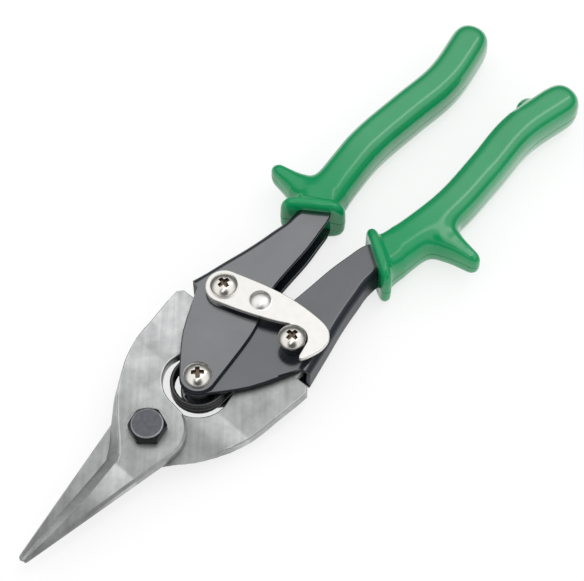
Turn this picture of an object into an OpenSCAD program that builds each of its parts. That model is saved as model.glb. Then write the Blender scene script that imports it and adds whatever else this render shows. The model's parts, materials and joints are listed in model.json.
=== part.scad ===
// Compound-action sheet metal snips, closed and latched.
// X runs from the main pivot towards the grips, Y to the handle that carries the latch, Z up.
// The origin is on the main pivot's axis, on the surface that the snips lie on.

/* [Linkage] */
// Main pivot to the pivot that joins the handles
handle_pivot_x = 23.3; // [22:0.1:25]
// Main pivot to the link screws, measured along the tool
link_x = 52; // [50:0.5:55]
// Link screws from the centre line
link_y = 14.8; // [14:0.1:16]

/* [Blades] */
// Main pivot to the jaw tip
jaw_length = 56.5; // [48:0.5:66]
// Blade thickness at the main pivot and in the tails
blade_t = 4; // [3.6:0.1:4.2]
// Blade thickness at the jaw tip
tip_t = 2.2; // [1.6:0.1:3]
// Width of one blade at the jaw tip
tip_w = 2.1; // [1.8:0.1:3]
// Where the tips meet, from the centre line towards the catch side
tip_offset = 0.65; // [0:0.05:0.8]
// Radius of the boss around the main pivot
boss_r = 12.2; // [11:0.1:13]
// Width of the ground bevel at the heel of the cutting edge
bevel_w = 4.2; // [3:0.1:5]
// Chamfer along the other blade edges
blade_chamfer = 0.8; // [0.4:0.1:1]
// Height of the square land under the bevel
edge_land = 0.3; // [0.2:0.05:0.6]
// Main pivot forward to the heel of the cutting edge
heel_x = 15.5; // [14:0.5:18]
// Radius of the bow in each tail that clears the spring
bow_r = 11.5; // [11:0.1:12]
// Radius of the eye at the end of each tail
tail_eye_r = 7.6; // [7:0.1:8]
// Length over which the tails step to the middle plane
step_length = 10; // [6:0.5:12]

/* [Main pivot] */
// Diameter of the pivot bolt
bolt_d = 7; // [6:0.1:8]
// Width across the flats of the bolt head and nut
bolt_af = 11; // [10:0.1:13]
// Height of the bolt head
bolt_head_h = 3.6; // [3:0.1:5]
// Thickness of the washer under the nut
pivot_washer_t = 1; // [0.6:0.1:1.4]
// Height of the pivot nut
pivot_nut_h = 4.5; // [4.2:0.1:6]

/* [Handle frames] */
// Thickness of the folded sheet
sheet_t = 1.6; // [1.4:0.05:1.7]
// Outside height of the folded channel
channel_h = 11.6; // [11.3:0.1:12.6]
// Radius of the nose around the handle pivot
nose_r = 6; // [5.6:0.1:6.6]
// Width of the tang inside the grip
tang_w = 7.6; // [6.5:0.1:8.4]
// Tang end back from the grip end
tang_short = 14; // [11:1:30]

/* [Grips] */
// Link screw to the middle of the grip collar
collar_ahead = 44; // [42:0.5:48]
// Collar middle to the end of the grip
grip_length = 98; // [92:1:106]
// Width of the grip across the hand
grip_w = 12.4; // [12:0.1:14]
// Thickness of the grip
grip_t = 15.2; // [14.8:0.1:17]
// Wall of the grip over the tang
grip_wall = 0.8; // [0.6:0.1:1.2]
// Lean of the collar from square
collar_lean = 34; // [30:1:42]
// Thickness of the collar
collar_t = 3.3; // [2:0.1:3.5]
// How far the collar stands out at the sides
collar_rise = 1.7; // [1:0.1:2]
// Length of the neck that widens to the collar
neck_length = 16.6; // [14:0.2:20]
// Extra width of the grip at the collar
neck_flare = 2.2; // [1.6:0.1:3]
// Wall around the mouth of the collar
mouth_wall = 2.6; // [1.6:0.1:3]
// Depth of the mouth of the collar
mouth_depth = 6; // [4:0.5:8]
// Spur length from the middle of the grip
spur_length = 22; // [18:0.5:26]
// Thickness of the spur at its root
spur_t = 12.6; // [10:0.1:13.5]
// Collar middle to the spur on the latch side
left_spur_at = 6.6; // [6:0.2:9]
// Collar middle to the spur on the catch side
right_spur_at = 22; // [14:0.5:26]
// How far the stop nub stands out of the catch side grip
nub_rise = 3.8; // [2:0.1:4]
// Length of the stop nub along the grip
nub_length = 7.6; // [5:0.1:9]
// Collar middle to the stop nub
nub_at = 83.4; // [78:0.2:86]

/* [Screws and bushes] */
// Diameter of the three screws
screw_d = 5; // [4:0.1:5.6]
// Diameter of the screw heads
head_d = 9.1; // [8.8:0.1:11]
// Height of the screw heads
head_h = 2.5; // [2:0.1:3]
// Diameter of the bushes that the tails and handles turn on
bush_d = 8; // [7.4:0.1:8.4]
// Outside diameter of the spacers beside the tails
spacer_d = 10; // [9.4:0.1:11]
// Width across the flats of the screw nuts
nut_af = 8; // [7.6:0.1:10]
// Height of the screw nuts
nut_h = 2.5; // [2:0.1:2.7]

/* [Latch] */
// Thickness of the latch plate
latch_t = 1.8; // [1.4:0.1:2.2]
// Gap under the latch, filled by its bush flange
latch_lift = 1.3; // [0.8:0.1:2]
// Radius of the round end of the latch
latch_end_r = 6.1; // [5.6:0.1:6.6]
// Diameter of the sleeve that the latch turns on
latch_sleeve_d = 7; // [6.4:0.1:7.4]
// Diameter of the collar that the latch hooks on
catch_d = 7.6; // [7:0.1:8]
// Clearance of the hook around the catch collar
hook_gap = 1.1; // [0.8:0.1:1.4]
// Diameter of the raised thumb dimple
dimple_d = 6.4; // [5:0.1:7]
// Height of the raised thumb dimple
dimple_h = 1.3; // [0.8:0.1:2]

/* [Return spring] */
// Wire diameter
wire_d = 1.45; // [1.2:0.05:1.5]
// Radius of the coil at the middle of the wire
coil_r = 8.5; // [8:0.1:8.9]

/* [Clearances] */
// Running clearance between a turning piece and its pin
running_fit = 0.05; // [0.02:0.01:0.1]
// Clearance at the link pin that the opened linkage leaves free
open_pivot_gap = 0.32; // [0.25:0.01:0.4]
// Gap between flat faces that slide on each other
slip = 0.05; // [0.02:0.01:0.1]
// Gap between the grip and the tang inside it
grip_fit = 0.15; // [0.1:0.05:0.3]
// Gap between the spring and its neighbours
spring_gap = 0.15; // [0.1:0.05:0.2]

/* [Hidden] */
$fn = 64;
cut = 1;
far = 300;

// Colours
steel = "#c4c4c0";
nickel = "#dedad0";
black_paint = "#2c2d31";
black_oxide = "#4b4d51";
green = "#12915a";
spring_black = "#1d1d1f";

// Levels above the resting surface
shear_z = pivot_nut_h + pivot_washer_t + blade_t;
nest = sheet_t + 2 * slip;
left_top = shear_z + (channel_h + nest) / 2;
left_bottom = left_top - channel_h;
right_top = left_top - nest;
right_bottom = left_bottom - nest;
left_middle = left_top - channel_h / 2;
tang_h = grip_t - nest - 2 * (grip_fit + grip_wall);
latch_bottom = left_top + latch_lift + slip;
latch_top = latch_bottom + latch_t;
sleeve_top = latch_top + slip;
catch_top = latch_top + 4 * slip;

// Pivot places in plan
pivot = [0, 0];
handle_pivot = [handle_pivot_x, 0];
link = [link_x, link_y];
catch = [link_x, -link_y];

// Curves in plan: an arc, and a smooth curve through a few points
function arc(c, r, from, to, n) =
    [for (i = [0:n]) let (a = from + (to - from) * i / n) c + r * [cos(a), sin(a)]];
function through(p0, p1, p2, p3, t) =
    0.5 * (2 * p1 + (p2 - p0) * t + (2 * p0 - 5 * p1 + 4 * p2 - p3) * t * t
    + (3 * p1 - p0 - 3 * p2 + p3) * t * t * t);
function curve(p, n) = let (end = len(p) - 1) concat(
    [for (i = [0:end - 1], j = [0:n - 1])
        through(p[max(i - 1, 0)], p[i], p[i + 1], p[min(i + 2, end)], j / n)],
    [p[end]]);
function reverse(p) = [for (i = [len(p) - 1:-1:0]) p[i]];
function last(p) = p[len(p) - 1];
function shifted(points, by) = [for (p = points) p + by];
function unit(v) = v / norm(v);
function right_of(v) = unit([v[1], -v[0]]);
function heading(v) = atan2(v[1], v[0]);
// Angle of the tangent from a point to a circle, seen from the circle's centre
function tangent_angle(c, r, p, side) = heading(p - c) + side * acos(r / norm(p - c));

// Stacks of rings become closed solids
function ring_faces(rings, sides) = concat(
    [[for (j = [0:sides - 1]) j]],
    [for (i = [0:rings - 2], j = [0:sides - 1])
        [i * sides + j, (i + 1) * sides + (j + 1) % sides, i * sides + (j + 1) % sides]],
    [for (i = [0:rings - 2], j = [0:sides - 1])
        [i * sides + j, (i + 1) * sides + j, (i + 1) * sides + (j + 1) % sides]],
    [[for (j = [sides - 1:-1:0]) (rings - 1) * sides + j]]);
module loft(rings) {
    polyhedron([for (r = rings) each r], ring_faces(len(rings), len(rings[0])), convexity = 10);
}

// The catch side repeats the latch side, turned over about the tool's axis
module turned_over() {
    translate([0, 0, shear_z]) rotate([180, 0, 0]) translate([0, 0, -shear_z]) children();
}
module at(p, z) {
    translate([p[0], p[1], z]) children();
}
module bore(p, d) {
    at(p, -cut) cylinder(d = d, h = far);
}
module ring(p, z, outer, inner, h) {
    at(p, z) difference() {
        cylinder(d = outer, h = h);
        translate([0, 0, -cut]) cylinder(d = inner, h = h + 2 * cut);
    }
}

// Blades in plan, from the tip along the cutting edge, round the tail and back along the boss
tip_cut = 0.18 * tip_w;
heel = [-heel_x, 3.5];
shoulder = link + [-6.5, 13.9];
bow_end = 92;
boss_start = -24;
back_edge = curve([heel, [-11, 6.6], [-4.2, 12.2], [5.8, 19.3], [21.3, 25.6], shoulder + [-9, -0.6],
    shoulder + [-2, 0]], 4);
tail = concat([shoulder + [0, -1.6], shoulder + [0, -6.2]], arc(link, tail_eye_r, 95, -100, 14));
bow = arc(handle_pivot, bow_r, bow_end, 180, 10);
function boss(tip_lower) = arc(pivot, boss_r, boss_start, tangent_angle(pivot, boss_r, tip_lower, 1), 12);
function jaw_end(tip_lower) = [tip_lower + [1, -0.25], tip_lower + [0, 0.4]];
function upper_tip(tip) = tip + [0, tip_cut];
function lower_tip(tip) = tip + [0, tip_cut - tip_w];
function blade_plan(tip) =
    concat([upper_tip(tip)], back_edge, tail, bow, boss(lower_tip(tip)), jaw_end(lower_tip(tip)));

// Blades from the side: flat at the boss, thinner towards the tip, stepped to the middle in the tail
step_from = handle_pivot_x - 3.3;
step_to = step_from + step_length;
tail_half = blade_t / 2;
taper_from = -boss_r - 2.5;
taper = (blade_t - tip_t) / (jaw_length + taper_from);
blade_profile = [[-jaw_length - cut, 0], [step_from, 0], [step_to, -tail_half], [far, -tail_half],
    [far, tail_half], [step_to, tail_half], [step_from, blade_t], [taper_from, blade_t],
    [-jaw_length - cut, tip_t - taper * cut]];
function top_z(x) = blade_t + min(0, taper * (x - taper_from))
    - max(0, x - step_from) * tail_half / step_length;

// A cut that takes a slope off an edge: at each point its place, its width and its drop below the top
past = 0.15;
function slope_cut(points) = [for (i = [0:len(points) - 1])
    let (here = points[i], before = points[max(i - 1, 0)], after = points[min(i + 1, len(points) - 1)],
        inward = right_of([after[0] - before[0], after[1] - before[1]]),
        w = here[2], drop = here[3], top = top_z(here[0]),
        low = [here[0], here[1]] - past * w * inward, high = [here[0], here[1]] + (1 + past) * w * inward,
        out = low - cut * inward)
    [[low[0], low[1], top - (1 + past) * drop], [out[0], out[1], top + past * drop],
        [high[0], high[1], top + past * drop]]];
bevel_widths = [1, 0.98, 0.94, 0.88, 0.8, 0.72, 0.64, 0.56, 0.48, 0.4, 0.32, 0.24, 0.16, 0.08, 0.02];
jaw_bevel = [[-0.03, 0.37], [0.3, 0.78], [0.62, 1]];
function bevel_path(tip) = concat(
    [for (s = jaw_bevel) let (p = upper_tip(tip) + s[0] * (heel - upper_tip(tip)))
        [p[0], p[1], s[1] * bevel_w, top_z(p[0]) - edge_land]],
    [for (i = [0:len(bevel_widths) - 1]) let (p = back_edge[i])
        [p[0], p[1], bevel_widths[i] * bevel_w, top_z(p[0]) - edge_land]]);
function chamfer_path(tip_lower) = let (
    root = last(boss(tip_lower)),
    along = (tip_lower - root) / (root[0] - tip_lower[0]))
    [for (p = concat(boss(tip_lower), [root + (root[0] - taper_from) * along, tip_lower + cut * along]))
        [p[0], p[1], blade_chamfer, blade_chamfer]];

module blade_blank(tip_y) {
    tip = [-jaw_length, tip_y];
    translate([0, 0, shear_z]) difference() {
        intersection() {
            linear_extrude(height = far, center = true) polygon(blade_plan(tip));
            rotate([90, 0, 0]) linear_extrude(height = far, center = true) polygon(blade_profile);
        }
        loft(slope_cut(bevel_path(tip)));
        loft(slope_cut(chamfer_path(lower_tip(tip))));
    }
}
module front_blade() {
    color(steel) difference() {
        blade_blank(-tip_offset);
        bore(pivot, bolt_d + 2 * running_fit);
        bore(link, bush_d + 2 * running_fit);
    }
}
module rear_blade() {
    color(steel) difference() {
        turned_over() blade_blank(tip_offset);
        bore(pivot, bolt_d + 2 * running_fit);
        bore(catch, bush_d + 2 * open_pivot_gap);
    }
}

// Main pivot
bolt_end = 0.4;
bolt_crown = 0.98;
washer_over = 1.3;
bolt_turn = 11;
nut_turn = 30;
hex = 2 / sqrt(3);
module hex_prism(af, h, turn = nut_turn) {
    rotate(turn) cylinder(d = af * hex, h = h, $fn = 6);
}
module pivot_bolt() {
    color(black_oxide) {
        at(pivot, bolt_end) cylinder(d = bolt_d, h = shear_z + blade_t - bolt_end);
        at(pivot, shear_z + blade_t) intersection() {
            hex_prism(bolt_af, bolt_head_h, bolt_turn);
            cylinder(d1 = bolt_af * hex + 4 * bolt_head_h, d2 = bolt_af * bolt_crown, h = bolt_head_h);
        }
    }
}
module pivot_washer() {
    color(nickel) ring(pivot, pivot_nut_h, bolt_af * washer_over, bolt_d, pivot_washer_t);
}
module pivot_nut() {
    color(black_oxide) difference() {
        hex_prism(bolt_af, pivot_nut_h);
        bore(pivot, bolt_d);
    }
}

// Grips in plan: the line that the grip and the tang follow
collar = link + [collar_ahead, -0.3];
grip_sway = [[0, 0], [0.165, 2.7], [0.35, 4.6], [0.555, 3.5], [0.76, 2.3], [1, 7.2]];
grip_line = [for (s = grip_sway) collar + [s[0] * grip_length, s[1]]];
function on_grip(share) = let (
    end = len(grip_line) - 1,
    i = max([for (k = [0:end - 1]) if (grip_sway[k][0] <= share) k]),
    t = (share - grip_sway[i][0]) / (grip_sway[i + 1][0] - grip_sway[i][0]))
    through(grip_line[max(i - 1, 0)], grip_line[i], grip_line[i + 1], grip_line[min(i + 2, end)], t);

// Handle frame: one folded sheet in plan, spine on the outside, open on the inside.
// Past the seam in front of the collar it runs on as the tang inside the grip.
seam = collar - [6, 0];
tang_end = 1 - tang_short / grip_length;
tang_stations = [0.17, 0.29, 0.42, 0.55, 0.65, 0.74, 0.8, tang_end];
neck_inset = 1.6;
spine_front = link + [-3.5, 10.9];
outer_edge = curve(concat(
    [spine_front, link + [8, 8.4], link + [18, 6], link + [28, 4.25], seam + [0, 3.6]],
    [for (s = tang_stations) on_grip(s) + [0, tang_w / 2]]), 4);
inner_edge = curve(concat(
    [handle_pivot + nose_r * [0.12, -0.993], link + [-7, -17.8], link + [3, -14.5], link + [11, -11.4],
        link + [20, -10.4], link + [30, -9.7], seam + [0, -8.2], collar + [0, -7.1],
        collar + [5, neck_inset - grip_w / 2]],
    [for (s = tang_stations) on_grip(s) - [0, tang_w / 2]]), 4);
front_corner = link + [-4.6, 7.6];
front_bulge = 4.9;
front_run = front_corner - handle_pivot;
front_middle = handle_pivot + front_run / 2 - front_bulge * right_of(front_run);
nose = arc(handle_pivot, nose_r, 270, tangent_angle(handle_pivot, nose_r, front_middle, 1), 12);
front_edge = curve([last(nose), front_middle, front_corner], 4);
frame_plan = concat(nose, [for (i = [1:len(front_edge) - 1]) front_edge[i]], outer_edge, reverse(inner_edge));
spine_inside = [for (i = [0:len(outer_edge) - 1])
    let (ahead = outer_edge[min(i + 1, len(outer_edge) - 1)], behind = outer_edge[max(i - 1, 0)])
    outer_edge[i] + sheet_t * right_of(ahead - behind)];
pocket = concat([[spine_front[0], far], [spine_front[0], spine_inside[0][1]]],
    [for (i = [1:len(spine_inside) - 1]) spine_inside[i]],
    [[far, last(spine_inside)[1]], [far, -far], [-far, -far], [-far, far]]);

// A stretch of the folded sheet, from one X to another
module channel(from, to, h) {
    translate([0, 0, left_middle - h / 2]) difference() {
        linear_extrude(height = h) intersection() {
            polygon(frame_plan);
            translate([from, -far]) square([to - from, 2 * far]);
        }
        translate([0, 0, sheet_t]) linear_extrude(height = h - 2 * sheet_t) polygon(pocket);
    }
}
module frame_blank() {
    difference() {
        union() {
            channel(-far, seam[0], channel_h);
            channel(seam[0], far, tang_h);
        }
        bore(handle_pivot, bush_d + 2 * running_fit);
        bore(link, screw_d);
    }
}
module left_handle_frame() {
    color(black_paint) frame_blank();
}
module right_handle_frame() {
    color(black_paint) turned_over() frame_blank();
}

// Grips
section_points = 24;
section_power = 0.5;
function rounded(x) = sign(x) * pow(abs(x), section_power);
// One ring of a grip: its middle, the direction across it in plan, and its size
function grip_ring(middle, across, w, t) = [for (i = [0:section_points - 1])
    let (a = 360 * i / section_points, p = middle + across * rounded(cos(a)) * w / 2)
    [p[0], p[1], shear_z + rounded(sin(a)) * t / 2]];
function leaning(angle) = [cos(90 + angle), sin(90 + angle)];

grip_stations = 22;
end_stations = 5;
end_round = grip_w * 0.55;
end_start = 1 - end_round / grip_length;
glance = 0.02;
function end_share(share) = let (u = max(0, 1 - (1 - share) * grip_length / end_round))
    sqrt(max(glance, 1 - u * u));
function neck(share) = max(0, 1 - share * grip_length / neck_length);
function grip_lean(share) = let (
    course = on_grip(min(share + glance, 1)) - on_grip(max(share - glance, 0)))
    collar_lean * neck(share) + heading(course) * (1 - neck(share));
function grip_station(share) = let (
    w = grip_w / cos(collar_lean * neck(share)) + neck_flare * pow(neck(share), 2),
    t = grip_t + neck_flare * pow(neck(share), 2))
    grip_ring(on_grip(share), leaning(grip_lean(share)), w * end_share(share),
        t * (1 + end_share(share)) / 2);
grip_shares = concat([for (i = [0:grip_stations - 1]) i / grip_stations * end_start],
    [for (i = [0:end_stations]) 1 - (1 - end_start) * pow(1 - i / end_stations, 2)]);

// The collar leans with the end of the grip, and its rim is rounded
collar_across = leaning(collar_lean);
collar_along = right_of(collar_across);
neck_w = grip_w / cos(collar_lean) + neck_flare;
collar_w = neck_w + 2 * collar_rise;
collar_h = 2 * shear_z;
collar_rim = [[-0.5, 1.3], [-0.4, 0.5], [-0.2, 0], [0.2, 0], [0.4, 0.5], [0.5, 1.3]];
function collar_ring(along, w, t) = grip_ring(collar + collar_along * along, collar_across, w, t);
module collar_flange() {
    loft([for (s = collar_rim) collar_ring(s[0] * collar_t, collar_w - 2 * s[1], collar_h - 2 * s[1])]);
}
// The mouth of the collar is wider than the tang, and narrows into the grip
mouth_w = collar_w - 2 * mouth_wall;
mouth_h = tang_h + nest + 2 * grip_fit;
module collar_mouth() {
    loft([collar_ring(-collar_t, mouth_w, mouth_h), collar_ring(collar_t / 2, mouth_w - 1, mouth_h),
        collar_ring(mouth_depth, mouth_w / 2, mouth_h - 1)]);
}
// The spur stands out of the grip's outer side, and narrows to a blunt tip
spur_shape = [[0, 15, 1], [0.36, 10, 1], [0.55, 7, 0.94], [0.75, 5.6, 0.86], [0.92, 4.4, 0.76],
    [1, 2.4, 0.5]];
module spur(distance) {
    root = on_grip(distance / grip_length);
    loft([for (s = spur_shape) [for (i = [0:section_points - 1])
        let (a = 360 * i / section_points)
        [root[0] - rounded(cos(a)) * s[1] / 2, root[1] + s[0] * spur_length,
            shear_z + rounded(sin(a)) * s[2] * spur_t / 2]]]);
}
// The stop nub stands out of the grip's inner side
nub_shape = [[-1, 1.1], [0.3, 1], [0.7, 0.75], [0.92, 0.4]];
nub_t = 0.44 * grip_t;
module stop_nub() {
    root = on_grip(nub_at / grip_length) - [0, grip_w / 2];
    loft([for (s = nub_shape) [for (i = [0:section_points - 1])
        let (a = 360 * i / section_points)
        [root[0] + rounded(cos(a)) * s[1] * nub_length / 2, root[1] - s[0] * nub_rise,
            shear_z + rounded(sin(a)) * s[1] * nub_t / 2]]]);
}
tang_outline = concat(shifted(outer_edge, [0, grip_fit]), [last(outer_edge) + [grip_fit, grip_fit]],
    [last(inner_edge) + [grip_fit, -grip_fit]], reverse(shifted(inner_edge, [0, -grip_fit])));
module tang_space() {
    translate([0, 0, left_middle - tang_h / 2 - grip_fit])
        linear_extrude(height = tang_h + 2 * grip_fit) polygon(tang_outline);
}
module grip(spur_at) {
    difference() {
        union() {
            loft([for (s = grip_shares) grip_station(s)]);
            collar_flange();
            spur(spur_at);
            children();
        }
        tang_space();
        collar_mouth();
    }
}
module left_grip() {
    color(green) grip(left_spur_at);
}
module right_grip() {
    color(green) turned_over() grip(right_spur_at) stop_nub();
}

// Screws, bushes and nuts
cross_l = 0.58;
cross_w = 0.13;
cross_turn = 20;
rim_h = 0.34;
module pan_head() {
    dome_h = head_h * (1 - rim_h);
    dome_r = (pow(head_d / 2, 2) + dome_h * dome_h) / (2 * dome_h);
    difference() {
        union() {
            cylinder(d = head_d, h = head_h * rim_h);
            translate([0, 0, head_h * rim_h]) intersection() {
                cylinder(d = head_d, h = dome_h);
                translate([0, 0, dome_h - dome_r]) sphere(r = dome_r);
            }
        }
        for (a = [0, 90]) rotate(a + cross_turn) translate([0, 0, head_h])
            cube([head_d * cross_l, head_d * cross_w, head_h], center = true);
    }
}
module screw(p, from, to) {
    at(p, to) pan_head();
    at(p, from) cylinder(d = screw_d, h = to - from);
}
module nut(p, top) {
    at(p, top - nut_h) difference() {
        hex_prism(nut_af, nut_h);
        translate([0, 0, -cut]) cylinder(d = screw_d, h = nut_h + 2 * cut);
    }
}
thread_end = 0.4;
module handle_pivot_screw() {
    color(nickel) screw(handle_pivot, right_bottom - slip - nut_h + thread_end, left_top + slip);
}
module handle_pivot_bush() {
    length = left_top - right_bottom + 2 * slip;
    color(nickel) ring(handle_pivot, right_bottom - slip, bush_d, screw_d, length);
}
module handle_pivot_nut() {
    color(black_oxide) nut(handle_pivot, right_bottom - slip);
}
module left_link_screw() {
    color(nickel) screw(link, left_bottom - nut_h + thread_end, sleeve_top);
}
module left_link_nut() {
    color(black_oxide) nut(link, left_bottom);
}
module tail_bush(p, from) {
    ring(p, from + sheet_t, bush_d, screw_d, channel_h - 2 * sheet_t);
}
module tail_spacers(p, from) {
    low = from + sheet_t;
    high = from + channel_h - sheet_t;
    ring(p, low, spacer_d, bush_d, shear_z - tail_half - slip - low);
    ring(p, shear_z + tail_half + slip, spacer_d, bush_d, high - shear_z - tail_half - slip);
}
module left_tail_bush() {
    color(nickel) tail_bush(link, left_bottom);
}
module left_tail_spacers() {
    color(nickel) tail_spacers(link, left_bottom);
}
module right_tail_bush() {
    color(nickel) tail_bush(catch, right_bottom);
}
module right_tail_spacers() {
    color(nickel) tail_spacers(catch, right_bottom);
}
module catch_screw() {
    color(nickel) screw(catch, right_bottom - nut_h + thread_end, catch_top);
}
module catch_collar() {
    color(nickel) ring(catch, right_top, catch_d, screw_d, catch_top - right_top);
}
module catch_nut() {
    color(black_oxide) nut(catch, right_bottom);
}

// Latch: a plate that turns on the link screw and hooks around the catch collar
hook_r = catch_d / 2 + hook_gap;
hook_tip = catch + [-3.6, -hook_r - 0.9];
latch_middle = (link + catch) / 2;
latch_back = curve([link + latch_end_r * [cos(15), sin(15)], latch_middle + [9.4, 4],
    latch_middle + [11.2, -7], catch + [11, -4], catch + [8.4, -8.6], catch + [4, -9.7],
    catch + [-0.6, -8.6], hook_tip + [0, -1.5]], 5);
latch_front = curve([catch + [3.6, 4.2], latch_middle + [0.8, -5.2], latch_middle + [-3.2, 4.8],
    link + latch_end_r * [cos(195), sin(195)]], 3);
hook = concat(arc(catch, hook_r, 46, -62, 12), [hook_tip + [0.3, 0], hook_tip + [-0.5, -0.7]]);
latch_plan = concat(arc(link, latch_end_r, 25, 185, 16), reverse(latch_front), hook, reverse(latch_back));
dimple = latch_middle + [3.7, 2.2];

module latch() {
    dome_r = (pow(dimple_d / 2, 2) + dimple_h * dimple_h) / (2 * dimple_h);
    color(nickel) difference() {
        union() {
            translate([0, 0, latch_bottom]) linear_extrude(height = latch_t) polygon(latch_plan);
            at(dimple, latch_top) intersection() {
                translate([0, 0, dimple_h - dome_r]) sphere(r = dome_r);
                translate([0, 0, -latch_t / 2]) cylinder(d = dimple_d, h = far);
            }
        }
        bore(link, latch_sleeve_d + 2 * running_fit);
    }
}
flange_inset = 0.4;
module latch_bush() {
    color(nickel) difference() {
        union() {
            at(link, left_top) cylinder(r = latch_end_r - flange_inset, h = latch_lift);
            at(link, left_top) cylinder(d = latch_sleeve_d, h = sleeve_top - left_top);
        }
        bore(link, screw_d);
    }
}

// Return spring: a leg into each handle and two and a half turns between them
turns = 2.5;
rings_per_turn = 8;
wire_sides = 6;
coil_top = right_top - sheet_t - shear_z - wire_d / 2 - spring_gap;
leg_z = tail_half + wire_d / 2 + 2 * spring_gap;
leg_seat = spacer_d / 2 + wire_d / 2 + spring_gap;
leg_past = 4;
leg_bend = 1.5;
leg_end = [link_x + leg_past, link_y - leg_seat];
leg_high = [link_x - tail_eye_r - leg_bend, link_y - leg_seat];
function coil_point(i) = let (a = 90 + 360 * i / rings_per_turn, share = i / (turns * rings_per_turn))
    [handle_pivot_x + coil_r * cos(a), coil_r * sin(a), coil_top * (1 - 2 * share)];
upper_leg = [[leg_end[0], leg_end[1], leg_z], [leg_high[0], leg_high[1], leg_z]];
lower_leg = [[leg_high[0], -leg_high[1], -leg_z], [leg_end[0], -leg_end[1], -leg_z]];
spring_path = concat(upper_leg, [for (i = [0:turns * rings_per_turn]) coil_point(i)], lower_leg);
function spring_ring(i) = let (last = len(spring_path) - 1,
    along = unit(spring_path[min(i + 1, last)] - spring_path[max(i - 1, 0)]),
    side = unit(cross(along, [0, 0, 1])), up = cross(side, along))
    [for (j = [0:wire_sides - 1]) let (a = 360 * j / wire_sides)
        [0, 0, shear_z] + spring_path[i] + wire_d / 2 * (cos(a) * side - sin(a) * up)];
coil_gap = min([for (i = [0:turns * rings_per_turn], j = [0:turns * rings_per_turn])
    if (j - i >= rings_per_turn / 2) norm(coil_point(i) - coil_point(j))]) - wire_d;
echo(return_spring_least_gap = coil_gap);

module return_spring() {
    color(spring_black) loft([for (i = [0:len(spring_path) - 1]) spring_ring(i)]);
}

front_blade();
rear_blade();
pivot_bolt();
pivot_washer();
pivot_nut();
left_handle_frame();
right_handle_frame();
left_grip();
right_grip();
handle_pivot_screw();
handle_pivot_bush();
handle_pivot_nut();
return_spring();
left_link_screw();
left_link_nut();
left_tail_bush();
left_tail_spacers();
catch_screw();
catch_collar();
catch_nut();
right_tail_bush();
right_tail_spacers();
latch();
latch_bush();
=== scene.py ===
# %% [markdown]
# # Compound-action snips
# Snips for sheet metal: two forged blades, two folded steel handles in moulded grips, a latch and a spring.
# The solids come packed as a fixed frame, in metres, with the main pivot at the origin and +Z up.
# Each piece below is dressed around its solid: edges get their radius, mouldings their soft fillets,
# fasteners their recesses, and every surface its own finish.

# %% Load the frame
import json
import math

import bmesh
import bpy
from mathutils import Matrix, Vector

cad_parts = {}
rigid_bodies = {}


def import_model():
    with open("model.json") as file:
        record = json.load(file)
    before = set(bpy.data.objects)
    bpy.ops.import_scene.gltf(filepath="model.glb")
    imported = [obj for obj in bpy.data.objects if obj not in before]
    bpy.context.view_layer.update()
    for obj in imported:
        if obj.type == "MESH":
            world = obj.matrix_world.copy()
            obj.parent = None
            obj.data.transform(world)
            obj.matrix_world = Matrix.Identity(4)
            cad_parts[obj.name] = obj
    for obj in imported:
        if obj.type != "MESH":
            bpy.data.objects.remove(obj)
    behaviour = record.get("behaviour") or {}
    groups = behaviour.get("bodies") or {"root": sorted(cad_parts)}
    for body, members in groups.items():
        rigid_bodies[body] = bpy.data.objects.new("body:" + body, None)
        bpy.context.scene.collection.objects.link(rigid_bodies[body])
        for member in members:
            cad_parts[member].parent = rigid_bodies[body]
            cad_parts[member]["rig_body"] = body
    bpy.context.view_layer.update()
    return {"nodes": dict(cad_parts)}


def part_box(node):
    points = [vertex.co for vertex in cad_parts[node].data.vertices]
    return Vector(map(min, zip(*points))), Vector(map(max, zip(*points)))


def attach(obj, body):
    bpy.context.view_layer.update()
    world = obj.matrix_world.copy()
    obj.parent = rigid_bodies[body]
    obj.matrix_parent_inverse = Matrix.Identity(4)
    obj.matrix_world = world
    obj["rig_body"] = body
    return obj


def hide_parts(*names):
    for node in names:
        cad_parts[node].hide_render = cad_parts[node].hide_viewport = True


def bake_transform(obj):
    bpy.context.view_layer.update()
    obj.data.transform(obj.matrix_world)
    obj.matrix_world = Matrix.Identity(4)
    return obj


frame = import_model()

MM = 0.001

# %% [markdown]
# ## Working by hand in code
# An operator acts on whatever is selected, and the frame arrives selected, so each step starts by selecting
# one object alone. In edit mode, faces and edges are picked by where they are or which way they face.

# %% Selecting
MERGE = 0.001 * MM


def make_active(piece):
    bpy.ops.object.select_all(action="DESELECT")
    piece.select_set(True)
    bpy.context.view_layer.objects.active = piece


def start_edit(piece, kind="FACE"):
    make_active(piece)
    bpy.ops.object.mode_set(mode="EDIT")
    bpy.ops.mesh.select_mode(type=kind)
    bpy.ops.mesh.select_all(action="DESELECT")


def end_edit():
    bpy.ops.object.mode_set(mode="OBJECT")


def pick(piece, parts, wanted):
    """Selects the verts, edges or faces that are wanted, and says how many there are."""
    bpy.ops.mesh.select_all(action="DESELECT")
    shape = bmesh.from_edit_mesh(piece.data)
    shape.normal_update()
    chosen = [part for part in getattr(shape, parts) if wanted(part)]
    for part in chosen:
        part.select_set(True)
    bmesh.update_edit_mesh(piece.data)
    return len(chosen)


def apply_modifier(piece, kind, **settings):
    make_active(piece)
    modifier = piece.modifiers.new(kind.title(), kind)
    for name, value in settings.items():
        setattr(modifier, name, value)
    bpy.ops.object.modifier_apply(modifier=modifier.name)


# %% [markdown]
# A solid of the frame is loose triangles. A copy of it is welded, and its flat faces are made whole, so that
# a bevel can run along real edges. The solid itself stays as it is and is only hidden.

# %% Copying and finishing
FLAT = math.radians(0.4)


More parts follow.
